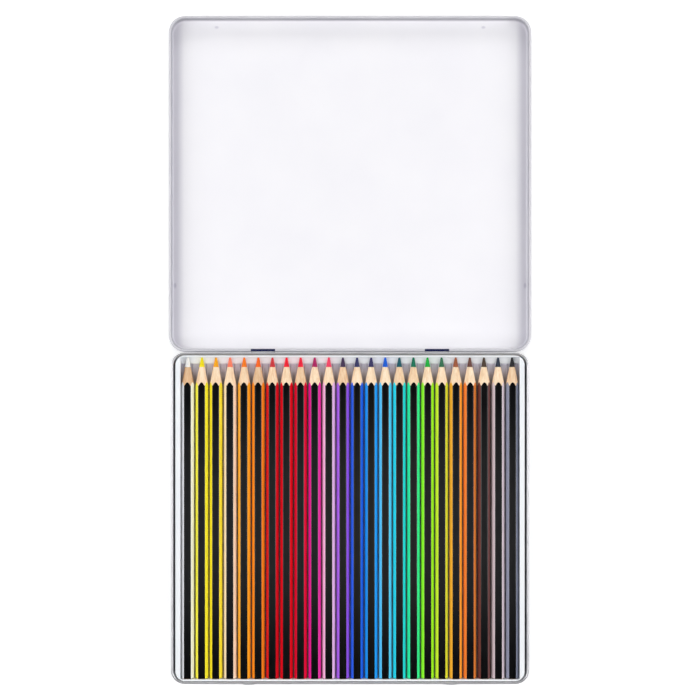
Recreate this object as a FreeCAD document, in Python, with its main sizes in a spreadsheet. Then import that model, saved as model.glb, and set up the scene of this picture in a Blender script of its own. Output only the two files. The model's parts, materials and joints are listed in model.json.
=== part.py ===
import FreeCAD
import Part
import Sketcher
import math
import os

# A flat hinged tin that lies open, with a row of pencils in a plastic tray.
# X runs along the hinge, +Y from the base towards the lid, +Z up.
# The origin is the centre of the base's underside, on the surface that the tin lies on.

# Driving sizes, in millimetres, degrees and counts.
SIZES = [
    # Pencils
    ("pencil_count", 24),
    ("pencil_length", 175.0),
    ("pencil_flats", 6.35),
    ("pencil_edge_radius", 0.8),
    ("pencil_gap", 0.62),
    ("lead_diameter", 3.0),
    ("lead_glue_gap", 0.03),
    ("tip_diameter", 1.0),
    ("sharpening_half_angle", 11.2),
    # Tray
    ("tray_sheet", 0.45),
    ("tray_side_flange", 2.6),
    ("tray_corner_radius", 5.2),
    ("bay_corner_radius", 0.6),
    ("groove_clearance", 0.15),
    ("bay_end_clearance", 0.3),
    ("ridge_below_axis", 2.6),
    ("ledge_width", 3.6),
    ("ledge_below_axis", 1.45),
    ("pencil_below_flange", 0.4),
    ("flange_below_rim", 0.8),
    ("tray_floor_clearance", 0.3),
    ("foot_chamfer_share", 0.75),
    ("tray_side_clearance", 1.2),
    ("tray_end_clearance", 0.25),
    # Tin
    ("tin_sheet", 0.3),
    ("bead_radius", 0.65),
    ("tin_bottom_radius", 1.5),
    ("floor_overlap", 1.0),
    ("closed_height", 13.0),
    ("base_corner_radius", 7.6),
    ("lid_corner_radius", 9.2),
    ("lid_headroom", 0.4),
    ("lid_side_clearance", 0.45),
    ("lid_rear_clearance", 0.3),
    ("lid_front_clearance", 0.6),
    # Hinge
    ("tongue_width", 13.3),
    ("tongue_spacing", 95.2),
    ("tongue_fit", 0.08),
    ("tongue_bend_radius", 0.45),
    ("tongue_wrap_angle", 198.0),
    ("slot_margin", 0.4),
    ("slot_side_clearance", 0.3),
    # Catches
    ("swelling_spacing", 110.0),
    ("swelling_length", 8.7),
    ("swelling_proud", 0.4),
    ("swelling_end_share", 1.25),
    ("dimple_width", 4.2),
    ("dimple_depth", 0.35),
    ("front_dimple_spacing", 146.0),
    ("side_dimple_from_hinge", 36.5),
    # One overrun for every cut
    ("overrun", 1.0),
]

# Sizes that follow from the driving ones, in an order in which each uses only those before it.
DERIVED = [
    ("hex_radius", "Sizes.pencil_flats / 2 / cos(30)"),
    ("edge_to_edge", "2 * hex_radius - 2 * Sizes.pencil_edge_radius * (1 / cos(30) - 1)"),
    ("pitch", "edge_to_edge + Sizes.pencil_gap"),
    ("bay_width", "Sizes.pencil_count * pitch"),
    ("bay_depth", "Sizes.pencil_length + 2 * Sizes.bay_end_clearance"),
    ("tray_width", "bay_width + 2 * Sizes.tray_side_flange"),
    ("tray_depth", "bay_depth + 4 * Sizes.tray_sheet"),
    ("rim_width", "2 * Sizes.bead_radius"),
    ("base_width", "tray_width + 2 * (Sizes.tray_side_clearance + rim_width)"),
    ("base_depth", "tray_depth + 2 * (Sizes.tray_end_clearance + rim_width)"),
    ("base_height", "Sizes.closed_height - Sizes.tin_sheet - Sizes.lid_headroom"),
    ("lid_width", "base_width + 2 * (Sizes.lid_side_clearance + rim_width)"),
    ("lid_gaps", "Sizes.lid_rear_clearance + Sizes.lid_front_clearance"),
    ("lid_depth", "base_depth + lid_gaps + 2 * rim_width"),
    ("axis_y", "base_depth / 2 + Sizes.lid_rear_clearance + Sizes.bead_radius"),
    ("axis_z", "Sizes.closed_height / 2"),
    ("lid_height", "axis_z + Sizes.bead_radius"),
    ("lid_centre_y", "axis_y - Sizes.bead_radius + lid_depth / 2"),
    ("flange_z", "base_height - Sizes.flange_below_rim"),
    ("foot_z", "Sizes.tin_sheet + Sizes.tray_floor_clearance"),
    ("tin_bend", "Sizes.tin_bottom_radius - Sizes.tin_sheet"),
    ("foot_gaps", "Sizes.tray_end_clearance + Sizes.tray_floor_clearance"),
    ("foot_chamfer", "Sizes.foot_chamfer_share * tin_bend - foot_gaps"),
    ("pencil_z", "flange_z - Sizes.pencil_below_flange - Sizes.pencil_flats / 2"),
    ("tip_y", "Sizes.pencil_length / 2"),
]

doc = FreeCAD.newDocument("PencilTin")


def fill_sheets():
    """Put the driving sizes and those that follow from them in two sheets."""
    sizes = doc.addObject("Spreadsheet::Sheet", "Sizes")
    for row, (alias, value) in enumerate(SIZES, start=1):
        sizes.set(f"A{row}", alias)
        sizes.set(f"B{row}", str(value))
        sizes.setAlias(f"B{row}", alias)
    derived = doc.addObject("Spreadsheet::Sheet", "Derived")
    for row, (alias, formula) in enumerate(DERIVED, start=1):
        derived.set(f"A{row}", alias)
        derived.set(f"B{row}", "=" + formula)
        derived.setAlias(f"B{row}", alias)
    doc.recompute()


def bind(thing, **expressions):
    """Tie properties of a thing to the sheets; a double underscore stands for the dot in a property's path."""
    for path, expression in expressions.items():
        thing.setExpression(path.replace("__", "."), expression)


def new_body(label):
    """An empty body, named as its file will be."""
    body = doc.addObject("PartDesign::Body", label)
    body.Label = label
    return body


def origin_plane(body, role):
    """One of a body's own origin planes or axes."""
    return next(item for item in body.Origin.OriginFeatures if item.Role == role)


def new_sketch(body, name, role, offset="0", origin=("0", "0")):
    """A sketch on one of the body's origin planes, moved along that plane's normal and in the plane itself."""
    sketch = body.newObject("Sketcher::SketchObject", name)
    sketch.AttachmentSupport = [(origin_plane(body, role), "")]
    sketch.MapMode = "FlatFace"
    bind(
        sketch,
        AttachmentOffset__Base__x=origin[0],
        AttachmentOffset__Base__y=origin[1],
        AttachmentOffset__Base__z=offset,
    )
    doc.recompute()
    return sketch


def draw(sketch, steps):
    """Draw a closed outline of corners held at signed places, each given by two expressions.

    A step is (x, y) for a straight side that starts there, or (x, y, centre x, centre y, turn) for an arc, with
    turn 1 for anticlockwise and -1 for clockwise.
    """
    places = [[sketch.evalExpression(text) for text in step[:4]] for step in steps]
    first = sketch.GeometryCount
    ends = []
    for number, step in enumerate(steps):
        here = places[number]
        there = places[(number + 1) % len(steps)]
        if len(step) == 2:
            start = FreeCAD.Vector(here[0], here[1], 0)
            finish = FreeCAD.Vector(there[0], there[1], 0)
            sketch.addGeometry(Part.LineSegment(start, finish), False)
            ends.append((1, 2))
            continue
        centre = FreeCAD.Vector(here[2], here[3], 0)
        angles = [math.atan2(p[1] - here[3], p[0] - here[2]) for p in (here, there)]
        if step[4] < 0:
            angles.reverse()
        radius = math.hypot(here[0] - here[2], here[1] - here[3])
        circle = Part.Circle(centre, FreeCAD.Vector(0, 0, 1), radius)
        sketch.addGeometry(Part.ArcOfCircle(circle, angles[0], angles[1]), False)
        ends.append((1, 2) if step[4] > 0 else (2, 1))
    hold(sketch, steps, first, ends)


def hold(sketch, steps, first, ends):
    """Join an outline's sides end to end and tie every corner to the sheets."""
    count = len(steps)
    for number, step in enumerate(steps):
        side = first + number
        after = first + (number + 1) % count
        joined = Sketcher.Constraint("Coincident", side, ends[number][1], after, ends[(number + 1) % count][0])
        sketch.addConstraint(joined)
        for kind, text in zip(("DistanceX", "DistanceY"), step[:2]):
            value = sketch.evalExpression(text)
            index = sketch.addConstraint(Sketcher.Constraint(kind, -1, 1, side, ends[number][0], value))
            sketch.setExpression(f"Constraints[{index}]", text)
        if len(step) > 2:
            radius = f"sqrt(({step[0]} - ({step[2]})) ^ 2 + ({step[1]} - ({step[3]})) ^ 2)"
            value = sketch.evalExpression(radius)
            index = sketch.addConstraint(Sketcher.Constraint("Radius", side, value))
            sketch.setExpression(f"Constraints[{index}]", radius)


def rounded_rectangle(sketch, half_width, half_depth, radius):
    """A rectangle about the sketch's origin, with round corners."""
    x, y = f"({half_width})", f"({half_depth})"
    inner_x, inner_y = f"({x} - ({radius}))", f"({y} - ({radius}))"
    draw(
        sketch,
        [
            (x, f"-{inner_y}"),
            (x, inner_y, inner_x, inner_y, 1),
            (inner_x, y),
            (f"-{inner_x}", y, f"-{inner_x}", inner_y, 1),
            (f"-{x}", inner_y),
            (f"-{x}", f"-{inner_y}", f"-{inner_x}", f"-{inner_y}", 1),
            (f"-{inner_x}", f"-{y}"),
            (inner_x, f"-{y}", inner_x, f"-{inner_y}", 1),
        ],
    )


def rectangle(sketch, left, right, low, high):
    """A rectangle between two places along each axis of the sketch."""
    draw(sketch, [(left, low), (right, low), (right, high), (left, high)])


def extrude(body, kind, name, sketch, length, symmetric=False, backwards=False):
    """A pad or a pocket of a sketch."""
    feature = body.newObject(f"PartDesign::{kind}", name)
    feature.Profile = sketch
    if symmetric:
        feature.SideType = "Symmetric"
    feature.Reversed = backwards
    bind(feature, Length=length)
    doc.recompute()
    return feature


def mirror(body, name, originals, role):
    """Repeat features on the other side of one of the body's origin planes."""
    feature = body.newObject("PartDesign::Mirrored", name)
    feature.Originals = originals
    feature.MirrorPlane = (origin_plane(body, role), [""])
    body.Tip = feature
    doc.recompute()
    return feature


def turn(body, kind, name, sketch, axis):
    """A full turn of a sketch about one of its own axes, added as a Revolution or cut as a Groove."""
    feature = body.newObject(f"PartDesign::{kind}", name)
    feature.Profile = sketch
    feature.ReferenceAxis = (sketch, [axis])
    doc.recompute()
    return feature


def pressed_pan(body, width, depth, height, corner_radius):
    """A pan of sheet: its wall and outward rolled rim are one section led round the plan, closed by a floor."""
    wall_x = f"({width} / 2 - Derived.rim_width)"
    wall_y = f"({depth} / 2 - Derived.rim_width)"
    wall_corner = f"({corner_radius} - Derived.rim_width)"
    plan = new_sketch(body, "Plan", "XY_Plane")
    rounded_rectangle(plan, wall_x, wall_y, wall_corner)

    bend_x = f"({wall_x} - Derived.tin_bend)"
    lip_x = f"({bend_x} - Sizes.floor_overlap)"
    outer_x = f"({wall_x} + Sizes.tin_sheet)"
    roll_x = f"({wall_x} + Sizes.bead_radius)"
    roll_z = f"({height} - Sizes.bead_radius)"
    bend_z = "Sizes.tin_bottom_radius"
    section = new_sketch(body, "Section", "XZ_Plane")
    draw(
        section,
        [
            (lip_x, "0"),
            (bend_x, "0", bend_x, bend_z, 1),
            (outer_x, bend_z),
            (outer_x, roll_z, roll_x, roll_z, -1),
            (roll_x, f"{roll_z} - Sizes.bead_radius + Sizes.tin_sheet"),
            (roll_x, f"{roll_z} - Sizes.bead_radius", roll_x, roll_z, 1),
            (wall_x, roll_z),
            (wall_x, bend_z, bend_x, bend_z, -1),
            (bend_x, "Sizes.tin_sheet"),
            (lip_x, "Sizes.tin_sheet"),
        ],
    )
    wall = body.newObject("PartDesign::AdditivePipe", "Wall")
    wall.Profile = section
    wall.Spine = plan
    doc.recompute()

    inset = "(Derived.tin_bend + Sizes.floor_overlap / 2)"
    floor_plan = new_sketch(body, "FloorPlan", "XY_Plane")
    rounded_rectangle(floor_plan, f"{wall_x} - {inset}", f"{wall_y} - {inset}", f"{wall_corner} - {inset}")
    extrude(body, "Pad", "Floor", floor_plan, "Sizes.tin_sheet")


def tin_base():
    """The lower half: a pan with two hinge tongues lanced from its rear wall and two swellings of its front rim."""
    body = new_body("tin_base")
    pressed_pan(body, "Derived.base_width", "Derived.base_depth", "Derived.base_height", "Sizes.base_corner_radius")

    # The tongue's sheet leaves the wall in a bend, runs out under the lid's rolled rim and curls up round it.
    inner = "(Sizes.bead_radius + Sizes.tongue_fit)"
    outer = f"({inner} + Sizes.tin_sheet)"
    wall_in = "(Derived.base_depth / 2 - Derived.rim_width)"
    wall_out = f"({wall_in} + Sizes.tin_sheet)"
    bend_y = f"({wall_out} + Sizes.tongue_bend_radius)"
    bend_z = f"(Derived.axis_z - {outer} - Sizes.tongue_bend_radius)"
    end_cos = "sin(Sizes.tongue_wrap_angle)"
    end_sin = "-cos(Sizes.tongue_wrap_angle)"
    middle = f"({inner} + Sizes.tin_sheet / 2)"
    lead_in = f"(Derived.axis_y - {bend_y})"
    bend_length = "((Sizes.tongue_bend_radius + Sizes.tin_sheet / 2) * pi / 2)"
    developed = f"({bend_length} + {lead_in} + {middle} * Sizes.tongue_wrap_angle * pi / 180)"
    side = "Sizes.tongue_spacing / 2"

    window_outline = new_sketch(body, "WindowOutline", "YZ_Plane", side)
    rectangle(
        window_outline,
        f"{wall_in} - Sizes.tin_sheet",
        f"{wall_out} + Sizes.tin_sheet",
        bend_z,
        f"{bend_z} + {developed}",
    )
    window = extrude(body, "Pocket", "Window", window_outline, "Sizes.tongue_width", symmetric=True)

    tongue_outline = new_sketch(body, "TongueOutline", "YZ_Plane", side)
    draw(
        tongue_outline,
        [
            (wall_in, f"{bend_z} - Sizes.tongue_bend_radius"),
            (wall_out, f"{bend_z} - Sizes.tongue_bend_radius"),
            (wall_out, bend_z, bend_y, bend_z, -1),
            (bend_y, f"Derived.axis_z - {outer}"),
            ("Derived.axis_y", f"Derived.axis_z - {outer}", "Derived.axis_y", "Derived.axis_z", 1),
            (f"Derived.axis_y + {outer} * {end_cos}", f"Derived.axis_z + {outer} * {end_sin}"),
            (
                f"Derived.axis_y + {inner} * {end_cos}",
                f"Derived.axis_z + {inner} * {end_sin}",
                "Derived.axis_y",
                "Derived.axis_z",
                -1,
            ),
            ("Derived.axis_y", f"Derived.axis_z - {inner}"),
            (bend_y, f"Derived.axis_z - {inner}", bend_y, bend_z, 1),
            (wall_in, bend_z),
        ],
    )
    tongue = extrude(body, "Pad", "Tongue", tongue_outline, "Sizes.tongue_width", symmetric=True)
    mirror(body, "OtherTongue", [window, tongue], "YZ_Plane")

    # A spindle set a little outside the rolled rim swells it, and its ends run out inside the roll.
    proud = "Sizes.swelling_proud"
    bow = f"((Sizes.swelling_length ^ 2 / 4 + {proud} ^ 2) / (2 * {proud}))"
    run_out = f"(Sizes.swelling_end_share * {proud})"
    end_radius = f"(Sizes.bead_radius - {run_out})"
    end_x = f"sqrt({bow} ^ 2 - ({bow} - {run_out}) ^ 2)"
    centre = ("Sizes.swelling_spacing / 2", f"-(Derived.base_depth / 2 - Sizes.bead_radius + {proud})")
    half_spindle = new_sketch(
        body, "HalfSpindle", "XY_Plane", "Derived.base_height - Sizes.bead_radius", centre
    )
    draw(
        half_spindle,
        [
            (f"-{end_x}", "0"),
            (f"-{end_x}", f"-{end_radius}", "0", f"{bow} - Sizes.bead_radius", 1),
            (end_x, f"-{end_radius}"),
            (end_x, "0"),
        ],
    )
    swelling = turn(body, "Revolution", "Swelling", half_spindle, "H_Axis")
    mirror(body, "OtherSwelling", [swelling], "YZ_Plane")
    return body


def tin_lid():
    """The upper half, lying on its back: a pan with slots beside its rear rim and four dimples pressed inwards."""
    body = new_body("tin_lid")
    bind(body, Placement__Base__y="Derived.lid_centre_y")
    pressed_pan(body, "Derived.lid_width", "Derived.lid_depth", "Derived.lid_height", "Sizes.lid_corner_radius")

    # The slot frees the rolled rim from the skirt, so that the tongue passes under it and curls round it.
    pin_y = "(-Derived.lid_depth / 2 + Sizes.bead_radius)"
    pin_z = "Derived.axis_z"
    reach = "(Sizes.bead_radius + Sizes.tongue_fit + Sizes.tin_sheet + Sizes.slot_margin)"
    slot_outline = new_sketch(body, "SlotOutline", "YZ_Plane", "Sizes.tongue_spacing / 2")
    draw(
        slot_outline,
        [
            (f"{pin_y} + Sizes.bead_radius", pin_z, pin_y, pin_z, -1),
            (pin_y, f"{pin_z} - Sizes.bead_radius"),
            (pin_y, f"{pin_z} - {reach}"),
            (f"{pin_y} + {reach}", f"{pin_z} - {reach}"),
            (f"{pin_y} + {reach}", pin_z),
        ],
    )
    slot_width = "Sizes.tongue_width + 2 * Sizes.slot_side_clearance"
    slot = extrude(body, "Pocket", "Slot", slot_outline, slot_width, symmetric=True)
    mirror(body, "OtherSlot", [slot], "YZ_Plane")

    front_y = "(Derived.lid_depth / 2 - Derived.rim_width)"
    side_x = "(Derived.lid_width / 2 - Derived.rim_width)"
    side_y = f"{pin_y} + Sizes.side_dimple_from_hinge"
    front_x = "Sizes.front_dimple_spacing / 2"
    front = (front_x, front_y)
    front_back = (front_x, f"{front_y} + Sizes.tin_sheet")
    side = (side_x, side_y)
    side_back = (f"{side_x} + Sizes.tin_sheet", side_y)
    caps = [
        dimple_cap(body, "FrontDome", "Revolution", front, "V_Axis"),
        dimple_cap(body, "FrontDent", "Groove", front_back, "V_Axis"),
        dimple_cap(body, "SideDome", "Revolution", side, "H_Axis"),
        dimple_cap(body, "SideDent", "Groove", side_back, "H_Axis"),
    ]
    mirror(body, "OtherDimples", caps, "YZ_Plane")
    return body


def dimple_cap(body, name, kind, centre, axis):
    """A shallow round cap on one face of the lid's skirt, bulging towards the inside of the lid."""
    across = "(Sizes.dimple_width / 2)"
    depth = "Sizes.dimple_depth"
    bow = f"(({across} ^ 2 + {depth} ^ 2) / (2 * {depth}))"
    profile = new_sketch(body, name + "Profile", "XY_Plane", "Derived.lid_height / 2", centre)
    if axis == "V_Axis":
        draw(profile, [("0", "0"), ("0", f"-{depth}", "0", f"{bow} - {depth}", 1), (across, "0")])
    else:
        draw(profile, [("0", "0"), (f"-{depth}", "0", f"{bow} - {depth}", "0", -1), ("0", across)])
    return turn(body, kind, name, profile, axis)


def pencil_tray():
    """The insert: a flange on a skirt, round a bay whose floor is a corrugated sheet with a groove for each pencil."""
    body = new_body("pencil_tray")
    bind(body, Placement__Base__z="Derived.foot_z")
    top = "(Derived.flange_z - Derived.foot_z)"
    axis = "(Derived.pencil_z - Derived.foot_z)"

    rim_plan = new_sketch(body, "RimPlan", "XY_Plane")
    rounded_rectangle(rim_plan, "Derived.tray_width / 2", "Derived.tray_depth / 2", "Sizes.tray_corner_radius")
    bay_x = "Derived.bay_width / 2"
    bay_y = "Derived.bay_depth / 2"
    rounded_rectangle(rim_plan, bay_x, bay_y, "Sizes.bay_corner_radius")
    rim = extrude(body, "Pad", "Rim", rim_plan, top)

    # The foot is cut back all round, clear of the bend between the tin's wall and its floor.
    edges = enumerate(rim.Shape.Edges, start=1)
    low = [(index, edge.BoundBox.Center) for index, edge in edges if edge.BoundBox.ZMax < doc.Sizes.tray_sheet]
    beyond = (rim.evalExpression(bay_x), rim.evalExpression(bay_y))
    outer = [f"Edge{index}" for index, middle in low if abs(middle.x) > beyond[0] or abs(middle.y) > beyond[1]]
    foot = body.newObject("PartDesign::Chamfer", "Foot")
    foot.Base = (rim, outer)
    bind(foot, Size="Derived.foot_chamfer")
    doc.recompute()

    # The side flanges are hollow underneath, as a formed sheet is.
    hollow_plan = new_sketch(body, "HollowPlan", "XY_Plane")
    inner_x = f"({bay_x} + Sizes.tray_sheet)"
    outer_x = "(Derived.tray_width / 2 - Sizes.tray_sheet)"
    hollow_y = "(Derived.tray_depth / 2 - Sizes.tray_corner_radius)"
    rectangle(hollow_plan, inner_x, outer_x, f"-{hollow_y}", hollow_y)
    rectangle(hollow_plan, f"-{outer_x}", f"-{inner_x}", f"-{hollow_y}", hollow_y)
    extrude(body, "Pocket", "Hollow", hollow_plan, f"{top} - Sizes.tray_sheet", backwards=True)

    # A groove follows a pencil's three lower faces at a clearance; its ridges meet those of the next groove.
    floor_z = f"({axis} - Sizes.pencil_flats / 2 - Sizes.groove_clearance)"
    ridge_z = f"({axis} - Sizes.ridge_below_axis)"
    floor_x = "(Derived.hex_radius / 2 + Sizes.groove_clearance * tan(30))"
    ridge_x = f"({floor_x} + ({ridge_z} - {floor_z}) / tan(60))"
    under = "Sizes.tray_sheet"
    shift = "Sizes.tray_sheet * tan(30)"
    half = "Derived.pitch / 2"
    first_x = f"(-{bay_x} + {half})"
    ledge_front = f"({bay_y} - Sizes.ledge_width)"
    groove_outline = new_sketch(body, "GrooveOutline", "XZ_Plane", f"-{ledge_front}")
    draw(
        groove_outline,
        [
            (f"{first_x} - {half}", ridge_z),
            (f"{first_x} - {half}", f"{ridge_z} - {under}"),
            (f"{first_x} - {ridge_x} - {shift}", f"{ridge_z} - {under}"),
            (f"{first_x} - {floor_x} - {shift}", f"{floor_z} - {under}"),
            (f"{first_x} + {floor_x} + {shift}", f"{floor_z} - {under}"),
            (f"{first_x} + {ridge_x} + {shift}", f"{ridge_z} - {under}"),
            (f"{first_x} + {half}", f"{ridge_z} - {under}"),
            (f"{first_x} + {half}", ridge_z),
            (f"{first_x} + {ridge_x}", ridge_z),
            (f"{first_x} + {floor_x}", floor_z),
            (f"{first_x} - {floor_x}", floor_z),
            (f"{first_x} - {ridge_x}", ridge_z),
        ],
    )
    groove = extrude(body, "Pad", "Groove", groove_outline, f"{ledge_front} + {bay_y}")
    grooves = body.newObject("PartDesign::LinearPattern", "Grooves")
    grooves.Originals = [groove]
    grooves.Direction = (origin_plane(body, "X_Axis"), [""])
    bind(grooves, Length="(Sizes.pencil_count - 1) * Derived.pitch", Occurrences="Sizes.pencil_count")
    body.Tip = grooves
    doc.recompute()

    # The tips lie over a ledge, which steps down to the grooves.
    ledge_z = f"({axis} - Sizes.ledge_below_axis)"
    ledge_outline = new_sketch(body, "LedgeOutline", "YZ_Plane")
    draw(
        ledge_outline,
        [
            (ledge_front, f"{floor_z} - {under}"),
            (f"{ledge_front} + {under}", f"{floor_z} - {under}"),
            (f"{ledge_front} + {under}", f"{ledge_z} - {under}"),
            (bay_y, f"{ledge_z} - {under}"),
            (bay_y, ledge_z),
            (ledge_front, ledge_z),
        ],
    )
    extrude(body, "Pad", "Ledge", ledge_outline, "Derived.bay_width", symmetric=True)
    return body


def place_pencil(body, number):
    """Lay a pencil's piece in its groove, counted from the left, with its tip towards the hinge."""
    bind(
        body,
        Placement__Base__x=f"({number} - (Sizes.pencil_count - 1) / 2) * Derived.pitch",
        Placement__Base__y="Derived.tip_y",
        Placement__Base__z="Derived.pencil_z",
    )


def casing(number, name):
    """A six-sided wooden casing, bored for its lead, rounded along its edges and sharpened to a cone at its tip."""
    body = new_body(f"casing_{name}")
    place_pencil(body, number)
    section = new_sketch(body, "Section", "XZ_Plane")
    corner = "Derived.hex_radius"
    flat = "Sizes.pencil_flats / 2"
    draw(
        section,
        [
            (corner, "0"),
            (f"{corner} / 2", flat),
            (f"-{corner} / 2", flat),
            (f"-{corner}", "0"),
            (f"-{corner} / 2", f"-{flat}"),
            (f"{corner} / 2", f"-{flat}"),
        ],
    )
    radius = "Sizes.lead_diameter / 2 + Sizes.lead_glue_gap"
    value = section.evalExpression(radius)
    bore = section.addGeometry(Part.Circle(FreeCAD.Vector(0, 0, 0), FreeCAD.Vector(0, 0, 1), value), False)
    section.addConstraint(Sketcher.Constraint("Coincident", bore, 3, -1, 1))
    index = section.addConstraint(Sketcher.Constraint("Radius", bore, value))
    section.setExpression(f"Constraints[{index}]", radius)
    barrel = extrude(body, "Pad", "Barrel", section, "Sizes.pencil_length")

    long_edges = [
        f"Edge{index}"
        for index, edge in enumerate(barrel.Shape.Edges, start=1)
        if len(edge.Vertexes) == 2 and edge.BoundBox.YLength > edge.BoundBox.XLength + edge.BoundBox.ZLength
        and math.hypot(edge.CenterOfMass.x, edge.CenterOfMass.z) > section.evalExpression(flat)
    ]
    rounding = body.newObject("PartDesign::Fillet", "Rounding")
    rounding.Base = (barrel, long_edges)
    bind(rounding, Radius="Sizes.pencil_edge_radius")
    doc.recompute()

    tip = "Sizes.tip_diameter / 2"
    rim = f"({corner} + Sizes.overrun)"
    shaving = new_sketch(body, "Shaving", "YZ_Plane")
    draw(shaving, [("0", tip), ("0", rim), (f"-({rim} - {tip}) / tan(Sizes.sharpening_half_angle)", rim)])
    turn(body, "Groove", "Sharpening", shaving, "H_Axis")
    return body


def lead(number, name):
    """A round lead as long as its casing, with the same cone at its tip and a blunt point."""
    body = new_body(f"lead_{name}")
    place_pencil(body, number)
    half_section = new_sketch(body, "HalfSection", "YZ_Plane")
    tip = "Sizes.tip_diameter / 2"
    radius = "Sizes.lead_diameter / 2"
    draw(
        half_section,
        [
            ("0", "0"),
            ("0", tip),
            (f"-({radius} - {tip}) / tan(Sizes.sharpening_half_angle)", radius),
            ("-Sizes.pencil_length", radius),
            ("-Sizes.pencil_length", "0"),
        ],
    )
    turn(body, "Revolution", "Turned", half_section, "H_Axis")
    return body


COLOURS = [
    "white",
    "lemon",
    "golden_yellow",
    "peach",
    "light_orange",
    "orange",
    "dark_red",
    "red",
    "crimson",
    "magenta",
    "pink",
    "violet",
    "dark_blue",
    "blue",
    "sky_blue",
    "turquoise",
    "sea_green",
    "green",
    "leaf_green",
    "ochre",
    "light_brown",
    "dark_brown",
    "grey",
    "black",
]


def check(bodies):
    """Stop if any object failed, or if a piece is not one sound solid."""
    for thing in doc.Objects:
        if "Invalid" in thing.State or "Error" in thing.State:
            raise RuntimeError(f"{thing.Name} of {thing.Label} failed")
    for body in bodies:
        shape = body.Shape
        if shape.isNull() or not shape.isValid() or len(shape.Solids) != 1:
            raise RuntimeError(f"{body.Label} is not one sound solid")


fill_sheets()
pieces = [tin_base(), tin_lid(), pencil_tray()]
for place in range(int(doc.Sizes.pencil_count)):
    label = f"{place + 1:02d}_{COLOURS[place % len(COLOURS)]}"
    pieces.append(casing(place, label))
    pieces.append(lead(place, label))
doc.recompute()
check(pieces)
os.makedirs("parts", exist_ok=True)
for piece in pieces:
    piece.Shape.exportStep(f"parts/{piece.Label}.step")
    print(piece.Label, round(piece.Shape.Volume, 3), piece.Shape.BoundBox)
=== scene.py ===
import json
import math

import bpy
from mathutils import Matrix, Vector


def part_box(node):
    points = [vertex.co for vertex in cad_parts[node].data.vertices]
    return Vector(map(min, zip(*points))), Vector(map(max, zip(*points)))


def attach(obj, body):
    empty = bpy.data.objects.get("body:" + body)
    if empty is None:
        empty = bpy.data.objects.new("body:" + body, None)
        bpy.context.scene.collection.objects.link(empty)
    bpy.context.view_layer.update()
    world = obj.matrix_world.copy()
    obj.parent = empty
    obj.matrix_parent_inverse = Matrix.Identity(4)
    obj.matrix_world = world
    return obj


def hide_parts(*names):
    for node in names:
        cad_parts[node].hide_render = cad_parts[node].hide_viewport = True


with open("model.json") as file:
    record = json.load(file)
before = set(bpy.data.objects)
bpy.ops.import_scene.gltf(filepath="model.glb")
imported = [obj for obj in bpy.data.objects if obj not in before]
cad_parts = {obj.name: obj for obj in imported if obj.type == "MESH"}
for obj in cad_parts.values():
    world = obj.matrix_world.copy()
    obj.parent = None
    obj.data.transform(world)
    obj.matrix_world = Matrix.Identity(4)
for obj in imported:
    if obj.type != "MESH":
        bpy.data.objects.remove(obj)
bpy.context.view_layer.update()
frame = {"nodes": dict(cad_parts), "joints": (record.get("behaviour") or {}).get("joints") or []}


# Tin base: the lower half of the box, one pressed sheet of tinplate, lacquered dark blue outside
# and left bare inside. Its edge is rolled outward to a bead, and two tongues that are cut from the
# rear wall curl round the lid's bead as the hinge.
bead_across = 0.0013
bead_margin = 0.0001
merge_gap = 0.000001
sheet_smooth = 40
grain_low = 0.3
grain_high = 0.7
lacquer_blue = (13, 21, 65), (16, 25, 73)
lacquer_rough = 0.3, 0.33
lacquer_skin = 0.000001
dull_tin = (228, 228, 231), (236, 236, 239)
bright_tin = (190, 190, 193), (201, 201, 204)
tin_rough = 0.4, 0.46
drawing_marks = 0.0000008


def tint(red, green, blue):
    """A colour as the eye reads it, from 0 to 255, for a shader."""
    parts = [part / 255 for part in (red, green, blue)]
    return [p / 12.92 if p <= 0.04045 else ((p + 0.055) / 1.055) ** 2.4 for p in parts] + [1.0]


def add_node(tree, kind, sockets=None, **settings):
    """Adds one node; a socket takes a value or another node's output."""
    made = tree.nodes.new("ShaderNode" + kind)
    for setting, value in settings.items():
        setattr(made, setting, value)
    for socket, value in (sockets or {}).items():
        if isinstance(value, bpy.types.NodeSocket):
            tree.links.new(value, made.inputs[socket])
        else:
            made.inputs[socket].default_value = value
    return made


def new_finish(name, **numbers):
    """A material with its even numbers set on its shader, and the piece's own coordinates."""
    finish = bpy.data.materials.new(name)
    finish.use_nodes = True
    tree = finish.node_tree
    shader = tree.nodes["Principled BSDF"]
    for number, value in numbers.items():
        socket = number.replace("_", " ").title().replace("Ior", "IOR")
        shader.inputs[socket].default_value = value
    place = add_node(tree, "TexCoord").outputs["Object"]
    return finish, tree, shader, place


def grain(tree, place, cycles, detail=2.0, warp=0.0):
    """A noise with its cycles per metre along each axis."""
    mapped = add_node(tree, "Mapping", {"Vector": place, "Scale": cycles}).outputs["Vector"]
    sockets = {"Vector": mapped, "Scale": 1.0, "Detail": detail, "Distortion": warp}
    return add_node(tree, "TexNoise", sockets).outputs["Fac"]


def between(tree, pattern, low, high):
    """A grain stretched to run from one number to another."""
    sockets = {
        "Value": pattern,
        "From Min": grain_low,
        "From Max": grain_high,
        "To Min": low,
        "To Max": high,
    }
    return add_node(tree, "MapRange", sockets).outputs["Result"]


def tones(tree, pattern, *stops):
    """A pattern coloured by stops of place and colour."""
    ramp = add_node(tree, "ValToRGB", {"Fac": pattern})
    marks = ramp.color_ramp.elements
    while len(marks) < len(stops):
        marks.new(0.5)
    for mark, (spot, colour) in zip(marks, stops):
        mark.position = spot
        mark.color = tint(*colour)
    return ramp.outputs["Color"]


def shades(tree, pattern, dark, light):
    """A grain in two shades of one colour."""
    return tones(tree, pattern, (grain_low, dark), (grain_high, light))


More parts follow.
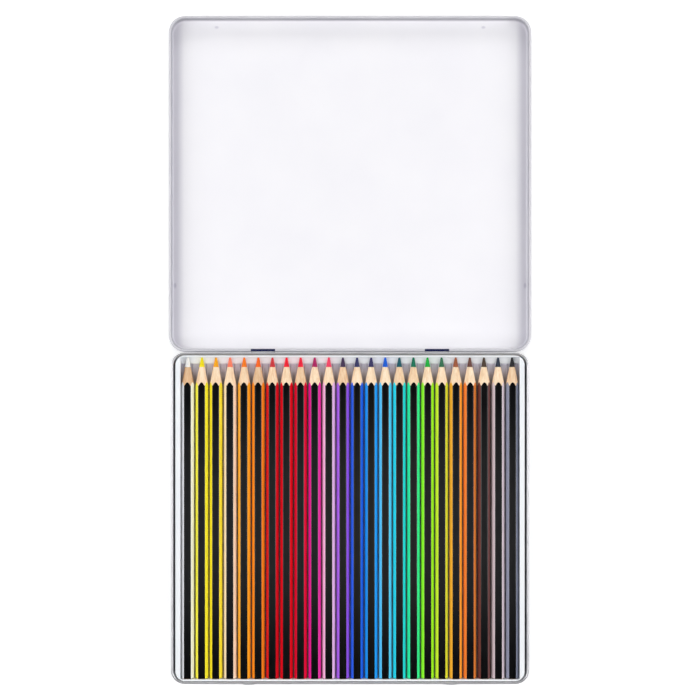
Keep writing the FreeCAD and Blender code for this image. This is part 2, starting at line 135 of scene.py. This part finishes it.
def relief(tree, shader, *layers):
    """Raises patterns by their depths in metres, one over another."""
    below = None
    for pattern, depth in layers:
        sockets = {"Height": pattern, "Distance": depth, "Strength": 1.0}
        if below:
            sockets["Normal"] = below
        below = add_node(tree, "Bump", sockets).outputs["Normal"]
    tree.links.new(below, shader.inputs["Normal"])


def outside_lacquer():
    """Dark blue stoving lacquer with a clear top coat and the faint skin of a sprayed finish."""
    finish, tree, shader, place = new_finish(
        "outside_lacquer", specular_ior_level=0.2, coat_weight=0.12, coat_roughness=0.14
    )
    cloud = grain(tree, place, (45, 45, 45))
    skin = grain(tree, place, (900, 900, 900), detail=1.0)
    tree.links.new(shades(tree, cloud, *lacquer_blue), shader.inputs["Base Color"])
    tree.links.new(between(tree, cloud, *lacquer_rough), shader.inputs["Roughness"])
    relief(tree, shader, (skin, lacquer_skin))
    return finish


def rising(tree, height, start, end):
    """From 0 to 1 between two heights."""
    sockets = {"Value": height, "From Min": start, "From Max": end}
    return add_node(tree, "MapRange", sockets).outputs["Result"]


def blended(tree, share, first, second, way="MIX"):
    """Two colours mixed by a share."""
    sockets = {"Fac": share, "Color1": first, "Color2": second}
    return add_node(tree, "MixRGB", sockets, blend_type=way).outputs["Color"]


def bare_tin():
    """Bare tinplate with fine drawing marks and a slightly clouded shine. It is dull below the
    bead, which the rolling burnished."""
    finish, tree, shader, place = new_finish("bare_tin")
    cloud = grain(tree, place, (90, 90, 90))
    marks = grain(tree, place, (1500, 1500, 1500))
    height = add_node(tree, "SeparateXYZ", {"Vector": place}).outputs["Z"]
    rolled = rising(tree, height, base_bead_bottom, base_bead_bottom + bead_margin)
    dull = shades(tree, cloud, *dull_tin)
    bright = shades(tree, cloud, *bright_tin)
    tree.links.new(blended(tree, rolled, dull, bright), shader.inputs["Base Color"])
    tree.links.new(rolled, shader.inputs["Metallic"])
    tree.links.new(between(tree, cloud, *tin_rough), shader.inputs["Roughness"])
    relief(tree, shader, (marks, drawing_marks))
    return finish


def take(piece):
    """Chooses one piece alone for the next operator."""
    bpy.ops.object.select_all(action="DESELECT")
    piece.select_set(True)
    bpy.context.view_layer.objects.active = piece


def even_shading(piece, angle):
    """Smooth shading that stays flat on the flat faces."""
    take(piece)
    bpy.ops.object.shade_smooth_by_angle(angle=math.radians(angle))
    weights = piece.modifiers.new("Flat faces", "WEIGHTED_NORMAL")
    weights.keep_sharp = True
    bpy.ops.object.modifier_apply(modifier=weights.name)


def merged_copy(node, name):
    """A copy of a solid as one joined skin, in the solid's place."""
    piece = bpy.data.objects.new(name, frame["nodes"][node].data.copy())
    bpy.context.scene.collection.objects.link(piece)
    take(piece)
    bpy.ops.mesh.customdata_custom_splitnormals_clear()
    bpy.ops.object.mode_set(mode="EDIT")
    bpy.ops.mesh.select_all(action="SELECT")
    bpy.ops.mesh.remove_doubles(threshold=merge_gap)
    bpy.ops.object.mode_set(mode="OBJECT")
    return piece


def finish_sheet(piece, outside, inside, middle, bead_bottom):
    """Gives a pressed pan its two sides; the bead is rolled outward, so it shows the inside."""
    piece.data.materials.clear()
    for finish in (outside, inside):
        piece.data.materials.append(finish)
    for face in piece.data.polygons:
        outward = (face.center - middle).dot(face.normal) > 0
        face.material_index = 0 if outward and face.center.z < bead_bottom else 1


dark_blue = outside_lacquer()
hinge = next(joint for joint in frame["joints"] if joint["name"] == "lid_hinge")
hinge_axis = Vector(hinge["pos_m"])
base_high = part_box("tin_base")[1]
base_middle = Vector((0, 0, base_high.z / 2))
base_bead_bottom = base_high.z - bead_across - bead_margin
base_sheet = merged_copy("tin_base", "base_sheet")
finish_sheet(base_sheet, dark_blue, bare_tin(), base_middle, base_bead_bottom)
tongue_start = hinge_axis.y - bead_across - bead_margin
tongue_top = base_high.z - 2 * bead_across
for face in base_sheet.data.polygons:
    spoke = face.center - hinge_axis
    spoke.x = 0
    if face.center.y > tongue_start and face.center.z < tongue_top:
        face.material_index = 0 if spoke.dot(face.normal) > 0 else 1
even_shading(base_sheet, sheet_smooth)
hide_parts("tin_base")
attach(base_sheet, "base")


# Tin lid: the upper half, pressed and rolled as the base is and white inside, here lying open on
# its outside. Its rear bead is the hinge pin, bared at two slots for the tongues, and small
# pressed dimples in its walls snap over the base's bead.
# Painted shade: the enamel greys from corner_start to wall_start, over the wall's foot and up the
# walls, and is grey on the bead too.
corner_start = 0.0004
wall_start = 0.0015
# Painted shade: the panel darkens towards the left and right walls between these two distances
# from the middle.
side_shade_start = 0.086
side_shade_full = 0.095
# Painted shade beside the catch dimples: four small darker oval spots on the panel, placed and
# sized here.
side_dimple_spot = (0.0965, 0.1271, 0)
side_dimple_spot_size = (0.0011, 0.002, 1)
front_dimple_spot = (0.0735, 0.2694, 0)
front_dimple_spot_size = (0.0015, 0.001, 1)
mark_core = 0.4
full_white = (255, 255, 255)
panel_white = (245, 244, 249), (248, 247, 251)
painted_wall_shade = (172, 171, 180), (180, 179, 187)
painted_bead_shade = (212, 211, 217), (219, 218, 223)
painted_side_shade = (0.0, full_white), (0.6, (253, 253, 253)), (1.0, (233, 232, 237))
painted_dimple_shade = (0.0, full_white), (1.0, (230, 229, 235))
enamel_rough = 0.36, 0.44
enamel_lines = 0.000001
enamel_skin = 0.000001
lid_low, lid_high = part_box("tin_lid")
lid_bead_bottom = lid_high.z - bead_across - bead_margin


def dimple_shade_spot(tree, spot, middle, size):
    """From 0 to 1 towards the middle of a small oval."""
    away = add_node(tree, "VectorMath", {0: spot, 1: middle}, operation="SUBTRACT").outputs[0]
    share = add_node(tree, "VectorMath", {0: away, 1: size}, operation="DIVIDE").outputs[0]
    far = add_node(tree, "VectorMath", {0: share}, operation="LENGTH").outputs["Value"]
    return rising(tree, far, 1.0, mark_core)


def inside_enamel():
    """White roller-coated enamel, satin, with faint lines along the way the sheet ran. It carries
    painted shade: darker towards the left and right walls, grey on the walls, their foot and the
    bead, and four small darker spots beside the catch dimples."""
    finish, tree, shader, place = new_finish("inside_enamel")
    cloud = grain(tree, place, (30, 30, 30))
    lines = grain(tree, place, (15, 900, 900))
    skin = grain(tree, place, (1400, 1400, 1400), detail=1.0)
    spot = add_node(tree, "SeparateXYZ", {"Vector": place}).outputs
    height = spot["Z"]
    aside = add_node(tree, "Math", {0: spot["X"]}, operation="ABSOLUTE").outputs[0]
    # Painted shade, darker towards the left and right walls.
    side_dark = tones(tree, rising(tree, aside, side_shade_start, side_shade_full), *painted_side_shade)
    panel = blended(tree, 1.0, shades(tree, cloud, *panel_white), side_dark, "MULTIPLY")
    # Painted shade: grey for the walls and their foot, a lighter grey for the bead.
    wall = shades(tree, cloud, *painted_wall_shade)
    bead = shades(tree, cloud, *painted_bead_shade)
    wall_shading = rising(tree, height, corner_start, wall_start)
    rolled = rising(tree, height, lid_bead_bottom, lid_bead_bottom + bead_margin)
    colour = blended(tree, rolled, blended(tree, wall_shading, panel, wall), bead)
    # Painted shade: four small darker spots beside the catch dimples.
    both_sides = add_node(tree, "VectorMath", {0: place}, operation="ABSOLUTE").outputs[0]
    at_side = dimple_shade_spot(tree, both_sides, side_dimple_spot, side_dimple_spot_size)
    at_front = dimple_shade_spot(tree, both_sides, front_dimple_spot, front_dimple_spot_size)
    dimple_dark = add_node(tree, "Math", {0: at_side, 1: at_front}, operation="MAXIMUM").outputs[0]
    colour = blended(tree, 1.0, colour, tones(tree, dimple_dark, *painted_dimple_shade), "MULTIPLY")
    tree.links.new(colour, shader.inputs["Base Color"])
    tree.links.new(between(tree, lines, *enamel_rough), shader.inputs["Roughness"])
    relief(tree, shader, (lines, enamel_lines), (skin, enamel_skin))
    return finish


lid_middle = Vector((0, (lid_low.y + lid_high.y) / 2, lid_high.z / 2))
lid_sheet = merged_copy("tin_lid", "lid_sheet")
finish_sheet(lid_sheet, dark_blue, inside_enamel(), lid_middle, lid_bead_bottom)
even_shading(lid_sheet, sheet_smooth)
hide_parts("tin_lid")
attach(lid_sheet, "lid")


# Pencil tray: a white plastic sheet, softened and drawn down over a former, so that all its edges
# are round. It drops into the base on its own skirt, and each groove holds one pencil.
tray_edge = 0.00016
tray_edge_steps = 3
tray_edge_angle = 25
tray_flat_angle = 1
tray_smooth = 35
# Painted shade: below these heights the grooves are painted dark grey, turning lavender grey
# towards their rear ends.
groove_top = 0.0055
ledge_top = 0.0063
end_shade_start = 0.075
end_shade_full = 0.08
clean_plastic = (246, 248, 252), (251, 252, 254)
painted_end_shade = (222, 219, 234), (229, 226, 240)
painted_groove_shade = (172, 166, 168), (180, 175, 177)
plastic_rough = 0.32, 0.42
plastic_skin = 0.000006


def tray_plastic():
    """White satin plastic with the slightly uneven skin that drawing leaves. Low in the grooves it
    carries painted shade: dark grey along them and a lighter lavender grey at their rear ends."""
    finish, tree, shader, place = new_finish("tray_plastic", subsurface_weight=0.06)
    cloud = grain(tree, place, (70, 70, 70))
    skin = grain(tree, place, (700, 700, 700))
    clean = shades(tree, cloud, *clean_plastic)
    end = shades(tree, cloud, *painted_end_shade)
    groove_dark = shades(tree, cloud, *painted_groove_shade)
    spot = add_node(tree, "SeparateXYZ", {"Vector": place}).outputs
    # Painted shade in the grooves, darker along them and lighter at their rear ends.
    groove = blended(tree, rising(tree, spot["Y"], end_shade_start, end_shade_full), groove_dark, end)
    colour = blended(tree, rising(tree, spot["Z"], groove_top, ledge_top), groove, clean)
    tree.links.new(colour, shader.inputs["Base Color"])
    tree.links.new(between(tree, cloud, *plastic_rough), shader.inputs["Roughness"])
    relief(tree, shader, (skin, plastic_skin))
    return finish


tray_sheet = merged_copy("pencil_tray", "tray_sheet")
tray_sheet.data.materials.clear()
tray_sheet.data.materials.append(tray_plastic())
take(tray_sheet)
bpy.ops.object.mode_set(mode="EDIT")
bpy.ops.mesh.select_all(action="SELECT")
bpy.ops.mesh.dissolve_limited(angle_limit=math.radians(tray_flat_angle))
bpy.ops.object.mode_set(mode="OBJECT")
rounding = tray_sheet.modifiers.new("Round edges", "BEVEL")
rounding.width = tray_edge
rounding.segments = tray_edge_steps
rounding.limit_method = "ANGLE"
rounding.angle_limit = math.radians(tray_edge_angle)
bpy.ops.object.modifier_apply(modifier=rounding.name)
even_shading(tray_sheet, tray_smooth)
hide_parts("pencil_tray")
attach(tray_sheet, "tray")


# Pencil casings: two grooved slats of pale wood, glued round the lead and milled to six sides with
# eased edges. Three sides are dipped in the pencil's colour and three in black, and the
# sharpener's cone leaves a scallop on each side.
half_side = math.pi / 6
edge_ease = 0.0008
ease_steps = 4
glue_gap = 0.00003
cone_angle = math.radians(11.2)
cone_tip_radius = 0.0005
cone_sides = 96
cone_lean = 0.05
bore_sides = 48
pencil_smooth = 35
black_every = 120
black_reach = 45
black = (5, 5, 7)
black_shine = 0.25
colour_shine = 0.4
colour_depth = 0.97
dip_rough = 0.12, 0.2
dip_ripple = 0.000001
wood_rings = (0.25, (236, 198, 158)), (0.5, (250, 224, 190)), (0.75, (255, 238, 212))
board_shades = (0.0, (222, 200, 180)), (0.4, (248, 240, 232)), (0.8, full_white)
board_shift = 378.5
wood_rough = 0.6, 0.78
pore_depth = 0.00002
blade_depth = 0.00001
lacquers = {
    "01_white": (251, 252, 255),
    "02_lemon": (255, 246, 62),
    "03_golden_yellow": (255, 234, 48),
    "04_peach": (255, 236, 218),
    "05_light_orange": (255, 180, 44),
    "06_orange": (255, 152, 38),
    "07_dark_red": (222, 18, 38),
    "08_red": (230, 16, 36),
    "09_crimson": (230, 20, 58),
    "10_magenta": (238, 36, 170),
    "11_pink": (255, 214, 242),
    "12_violet": (172, 100, 240),
    "13_dark_blue": (42, 110, 234),
    "14_blue": (40, 170, 252),
    "15_sky_blue": (106, 220, 255),
    "16_turquoise": (48, 228, 242),
    "17_sea_green": (58, 246, 172),
    "18_green": (170, 250, 46),
    "19_leaf_green": (226, 242, 64),
    "20_ochre": (255, 180, 62),
    "21_light_brown": (250, 142, 62),
    "22_dark_brown": (106, 62, 60),
    "23_grey": (240, 222, 228),
    # The black pencil's colour sides are blue grey: a painted sheen for the lamps' highlights on
    # its black lacquer.
    "24_black": (146, 152, 174),
}
names = sorted(lacquers)
first_low, first_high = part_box("casing_" + names[0])
lead_low, lead_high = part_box("lead_" + names[0])
pencil_middle = (lead_low + lead_high) / 2
flats = first_high.z - first_low.z
lead_radius = (lead_high.z - lead_low.z) / 2
bore_radius = lead_radius + glue_gap
bore_reach = flats / 4
pencil_length = lead_high.y - lead_low.y
pencil_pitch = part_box("casing_" + names[1])[0].x - first_low.x


def pick(piece, kind, rule):
    """Opens one piece for editing with only the edges or faces chosen that a rule takes."""
    take(piece)
    bpy.ops.object.mode_set(mode="EDIT")
    bpy.ops.mesh.select_mode(type=kind)
    bpy.ops.mesh.select_all(action="DESELECT")
    bpy.ops.object.mode_set(mode="OBJECT")
    for part in piece.data.edges if kind == "EDGE" else piece.data.polygons:
        part.select = rule(part)
    bpy.ops.object.mode_set(mode="EDIT")


def cut(piece, tool, operation):
    """Cuts a piece with a tool, which is then thrown away."""
    take(piece)
    step = piece.modifiers.new("Cut", "BOOLEAN")
    step.operation = operation
    step.object = tool
    bpy.ops.object.modifier_apply(modifier=step.name)
    bpy.data.objects.remove(tool)


def lacquer(name, colour, shine=colour_shine):
    """Glossy dipped lacquer, with faint runs along the pencil and the wood's ripple under it."""
    finish, tree, shader, place = new_finish("lacquer_" + name, specular_ior_level=shine)
    runs = grain(tree, place, (1200, 40, 1200))
    ripple = grain(tree, place, (800, 120, 800))
    deep = [part * colour_depth for part in colour]
    tree.links.new(shades(tree, runs, deep, colour), shader.inputs["Base Color"])
    tree.links.new(between(tree, ripple, *dip_rough), shader.inputs["Roughness"])
    relief(tree, shader, (ripple, dip_ripple))
    return finish


def pale_wood():
    """Pale close-grained wood, cut across its grain by the sharpener's blade; each slat was sawn
    from another board, so each pencil has its own shade."""
    finish, tree, shader, place = new_finish("pale_wood")
    rings = grain(tree, place, (1100, 70, 1100), detail=4.0, warp=0.6)
    pores = grain(tree, place, (5200, 260, 5200))
    blade = grain(tree, place, (500, 2600, 500))
    across = add_node(tree, "SeparateXYZ", {"Vector": place}).outputs["X"]
    number = add_node(tree, "Math", {0: across, 1: pencil_pitch}, operation="DIVIDE").outputs[0]
    number = add_node(tree, "Math", {0: number}, operation="FLOOR").outputs[0]
    number = add_node(tree, "Math", {0: number, 1: board_shift}, operation="ADD").outputs[0]
    board = add_node(tree, "TexWhiteNoise", {"W": number}, noise_dimensions="1D").outputs["Value"]
    colour = tones(tree, rings, *wood_rings)
    shade = tones(tree, board, *board_shades)
    tree.links.new(blended(tree, 1.0, colour, shade, "MULTIPLY"), shader.inputs["Base Color"])
    tree.links.new(between(tree, pores, *wood_rough), shader.inputs["Roughness"])
    relief(tree, shader, (pores, pore_depth), (blade, blade_depth))
    return finish


bpy.ops.object.select_all(action="DESELECT")
bpy.ops.mesh.primitive_cylinder_add(
    vertices=6,
    radius=flats / 2 / math.cos(half_side),
    depth=pencil_length,
    location=pencil_middle,
    rotation=(math.pi / 2, half_side, 0),
)
casing = bpy.context.object
bpy.ops.object.transform_apply(location=True, rotation=True, scale=True)


def runs_along(edge):
    """Whether an edge runs the length of the pencil."""
    ends = [casing.data.vertices[corner].co for corner in edge.vertices]
    return abs(ends[0].y - ends[1].y) > pencil_length / 2


pick(casing, "EDGE", runs_along)
bpy.ops.mesh.bevel(offset=edge_ease * math.tan(half_side), segments=ease_steps, affect="EDGES")
bpy.ops.object.mode_set(mode="OBJECT")
cone_overrun = cone_tip_radius
cone_length = pencil_length + 2 * cone_overrun
cone_taper = math.tan(cone_angle)
bpy.ops.mesh.primitive_cone_add(
    vertices=cone_sides,
    radius1=cone_tip_radius + cone_taper * (pencil_length + cone_overrun),
    radius2=cone_tip_radius - cone_taper * cone_overrun,
    depth=cone_length,
    location=pencil_middle,
    rotation=(-math.pi / 2, 0, 0),
)
cut(casing, bpy.context.object, "INTERSECT")
bpy.ops.mesh.primitive_cylinder_add(
    vertices=bore_sides,
    radius=bore_radius,
    depth=2 * pencil_length,
    location=pencil_middle,
    rotation=(math.pi / 2, 0, 0),
)
cut(casing, bpy.context.object, "DIFFERENCE")


def is_wood(face):
    """Whether a face is bare: the cone, the sawn end or the bore."""
    spoke = face.center - pencil_middle
    return abs(face.normal.y) > cone_lean or math.hypot(spoke.x, spoke.z) < bore_reach


pick(casing, "FACE", is_wood)
bpy.ops.mesh.region_to_loop()
bpy.ops.mesh.mark_sharp()
bpy.ops.object.mode_set(mode="OBJECT")
for face in casing.data.polygons:
    turn = math.degrees(math.atan2(face.normal.x, face.normal.z)) % black_every
    is_black = min(turn, black_every - turn) < black_reach
    face.material_index = 0 if is_wood(face) else 1 if is_black else 2
even_shading(casing, pencil_smooth)
wood = pale_wood()
black_lacquer = lacquer("black_sides", black, black_shine)
for name in names:
    low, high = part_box("casing_" + name)
    piece = bpy.data.objects.new("pencil_" + name + "_casing", casing.data.copy())
    bpy.context.scene.collection.objects.link(piece)
    piece.data.transform(Matrix.Translation(((low.x + high.x) / 2 - pencil_middle.x, 0, 0)))
    for finish in (wood, black_lacquer, lacquer(name, lacquers[name])):
        piece.data.materials.append(finish)
    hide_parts("casing_" + name)
    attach(piece, "pencil_" + name)
bpy.data.objects.remove(casing)


# Leads: pigment, clay and wax, pressed to a rod and glued into the casing from end to end. The
# sharpener cuts the cone on through the wood, and the point is worn a little round.
point_round = 0.00022
point_steps = 4
lead_sides = 48
end_lean = 0.9
crumb_shade = 0.94
pigment_rough = 0.5, 0.66
crumb_depth = 0.00002
turning_depth = 0.00001
pigments = {
    "01_white": (255, 255, 252),
    "02_lemon": (255, 236, 10),
    "03_golden_yellow": (252, 172, 10),
    "04_peach": (255, 130, 100),
    "05_light_orange": (255, 128, 20),
    "06_orange": (255, 106, 22),
    "07_dark_red": (216, 54, 62),
    "08_red": (252, 20, 50),
    "09_crimson": (252, 20, 60),
    "10_magenta": (178, 28, 100),
    "11_pink": (255, 66, 106),
    "12_violet": (68, 50, 86),
    "13_dark_blue": (58, 60, 106),
    "14_blue": (54, 50, 100),
    "15_sky_blue": (6, 96, 220),
    "16_turquoise": (14, 92, 104),
    "17_sea_green": (6, 120, 90),
    "18_green": (8, 182, 60),
    "19_leaf_green": (50, 118, 84),
    "20_ochre": (166, 92, 58),
    "21_light_brown": (114, 74, 66),
    "22_dark_brown": (78, 62, 50),
    "23_grey": (52, 62, 78),
    "24_black": (38, 38, 42),
}


def pigment(name, colour):
    """Waxy pressed pigment, matt, with small crumbs and turning marks from the sharpener."""
    finish, tree, shader, place = new_finish("pigment_" + name, specular_ior_level=0.25)
    crumbs = grain(tree, place, (3600, 3600, 3600), detail=4.0)
    turning = grain(tree, place, (300, 3200, 300))
    deep = [part * crumb_shade for part in colour]
    tree.links.new(shades(tree, crumbs, deep, colour), shader.inputs["Base Color"])
    tree.links.new(between(tree, crumbs, *pigment_rough), shader.inputs["Roughness"])
    relief(tree, shader, (crumbs, crumb_depth), (turning, turning_depth))
    return finish


point_length = (lead_radius - cone_tip_radius) / cone_taper
rod_length = pencil_length - point_length
bpy.ops.object.select_all(action="DESELECT")
bpy.ops.mesh.primitive_cylinder_add(
    vertices=lead_sides,
    radius=lead_radius,
    depth=rod_length,
    location=(pencil_middle.x, lead_low.y + rod_length / 2, pencil_middle.z),
    rotation=(math.pi / 2, 0, 0),
)
lead = bpy.context.object
bpy.ops.object.transform_apply(location=True, rotation=True, scale=True)
pick(lead, "FACE", lambda face: face.normal.y > end_lean)
bpy.ops.mesh.extrude_region_move(TRANSFORM_OT_translate={"value": (0, point_length, 0)})
tip_share = cone_tip_radius / lead_radius
bpy.ops.transform.resize(
    value=(tip_share, tip_share, tip_share),
    center_override=(pencil_middle.x, lead_high.y, pencil_middle.z),
)
bpy.ops.object.mode_set(mode="OBJECT")


def rounds_the_tip(edge):
    """Whether an edge lies at the very point."""
    ends = [lead.data.vertices[corner].co for corner in edge.vertices]
    return min(end.y for end in ends) > lead_high.y - point_round


pick(lead, "EDGE", rounds_the_tip)
bpy.ops.mesh.bevel(offset=point_round, segments=point_steps, affect="EDGES")
bpy.ops.object.mode_set(mode="OBJECT")
even_shading(lead, pencil_smooth)
for name in names:
    low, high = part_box("lead_" + name)
    piece = bpy.data.objects.new("pencil_" + name + "_lead", lead.data.copy())
    bpy.context.scene.collection.objects.link(piece)
    piece.data.transform(Matrix.Translation(((low.x + high.x) / 2 - pencil_middle.x, 0, 0)))
    piece.data.materials.append(pigment(name, pigments[name]))
    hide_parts("lead_" + name)
    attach(piece, "pencil_" + name)
bpy.data.objects.remove(lead)


# Studio: white paper under the tin in a dim even room, seen from straight above. A large soft box
# at each side gives the main light, and lesser ones hang behind, in front and overhead.
floor_size = 6.0
floor_drop = 0.0001
near_floor = 0.35
far_floor = 1.0
near_lift = 0.45
paper_white = (240, 240, 241), (244, 244, 244)
side_size = (0.7, 1.4)
side_power = 14.8
side_reach = 1.15
side_height = 0.92
fill_size = (0.7, 0.28)
fill_power = 0.6
fill_place = Vector((0, -0.17, 1.6))
back_size = (1.6, 0.5)
back_power = 7.0
back_place = Vector((0, 1.45, 0.65))
front_size = (1.6, 0.5)
front_power = 4.0
front_place = Vector((0, -0.9, 1.3))
room_overhead = 0.02
room_sides = 0.15
view_middle = Vector((0, 0.0916, 0.01))
view_height = 0.9
view_width = 0.3817


def white_floor():
    """White paper, lifted to a clean white where the camera or a reflection sees it."""
    finish = bpy.data.materials.new("white_floor")
    finish.use_nodes = True
    tree = finish.node_tree
    tree.nodes.clear()
    place = add_node(tree, "TexCoord").outputs["Object"]
    paper = shades(tree, grain(tree, place, (40, 40, 40)), *paper_white)
    matt = add_node(tree, "BsdfDiffuse", {"Color": paper})
    rays = add_node(tree, "LightPath").outputs
    seen = rays["Is Camera Ray"]
    for ray in ("Is Glossy Ray", "Is Transmission Ray"):
        seen = add_node(tree, "Math", {0: seen, 1: rays[ray]}, operation="MAXIMUM").outputs[0]
    away = add_node(tree, "VectorMath", {0: place}, operation="LENGTH").outputs["Value"]
    sockets = {
        "Value": away,
        "From Min": near_floor,
        "From Max": far_floor,
        "To Min": near_lift,
        "To Max": 1.0,
    }
    even = add_node(tree, "MapRange", sockets).outputs["Result"]
    lift = add_node(tree, "Math", {0: seen, 1: even}, operation="MULTIPLY").outputs[0]
    glow = add_node(tree, "Emission", {"Strength": lift})
    both = add_node(tree, "AddShader", {0: matt.outputs[0], 1: glow.outputs[0]})
    add_node(tree, "OutputMaterial", {"Surface": both.outputs[0]})
    return finish


bpy.ops.object.select_all(action="DESELECT")
bpy.ops.mesh.primitive_plane_add(size=floor_size, location=(0, view_middle.y, -floor_drop))
floor = bpy.context.object
floor.name = "floor"
floor.data.materials.append(white_floor())


def hang_lamp(name, spot, size, power):
    """A soft box that faces the middle of the tin."""
    lamp = bpy.data.lights.new(name, "AREA")
    lamp.shape = "RECTANGLE"
    lamp.size, lamp.size_y = size
    lamp.energy = power
    soft_box = bpy.data.objects.new(name, lamp)
    soft_box.location = spot
    soft_box.rotation_euler = (view_middle - spot).to_track_quat("-Z", "Y").to_euler()
    bpy.context.scene.collection.objects.link(soft_box)


for side in (-1, 1):
    side_place = Vector((side * side_reach, view_middle.y, side_height))
    hang_lamp("soft_box", side_place, side_size, side_power)
hang_lamp("fill", fill_place, fill_size, fill_power)
hang_lamp("back", back_place, back_size, back_power)
hang_lamp("front", front_place, front_size, front_power)

room = bpy.data.worlds.new("white_room")
room.use_nodes = True
room_tree = room.node_tree
sky = add_node(room_tree, "TexCoord").outputs["Generated"]
overhead = add_node(room_tree, "SeparateXYZ", {"Vector": sky}).outputs["Z"]
wall_light = {"Value": overhead, "To Min": room_sides, "To Max": room_overhead}
unseen = add_node(room_tree, "MapRange", wall_light).outputs["Result"]
seen = add_node(room_tree, "LightPath").outputs["Is Camera Ray"]
white_wall = {"Value": seen, "To Min": unseen, "To Max": 1.0}
strength = add_node(room_tree, "MapRange", white_wall).outputs["Result"]
room_light = room_tree.nodes["Background"]
room_light.inputs["Color"].default_value = (1, 1, 1, 1)
room_tree.links.new(strength, room_light.inputs["Strength"])
bpy.context.scene.world = room

lens = bpy.data.cameras.new("camera")
lens.lens = lens.sensor_width * view_height / view_width
camera = bpy.data.objects.new("camera", lens)
camera.location = view_middle + Vector((0, 0, view_height))
bpy.context.scene.collection.objects.link(camera)
bpy.context.scene.camera = camera
bpy.context.scene.view_settings.view_transform = "Standard"
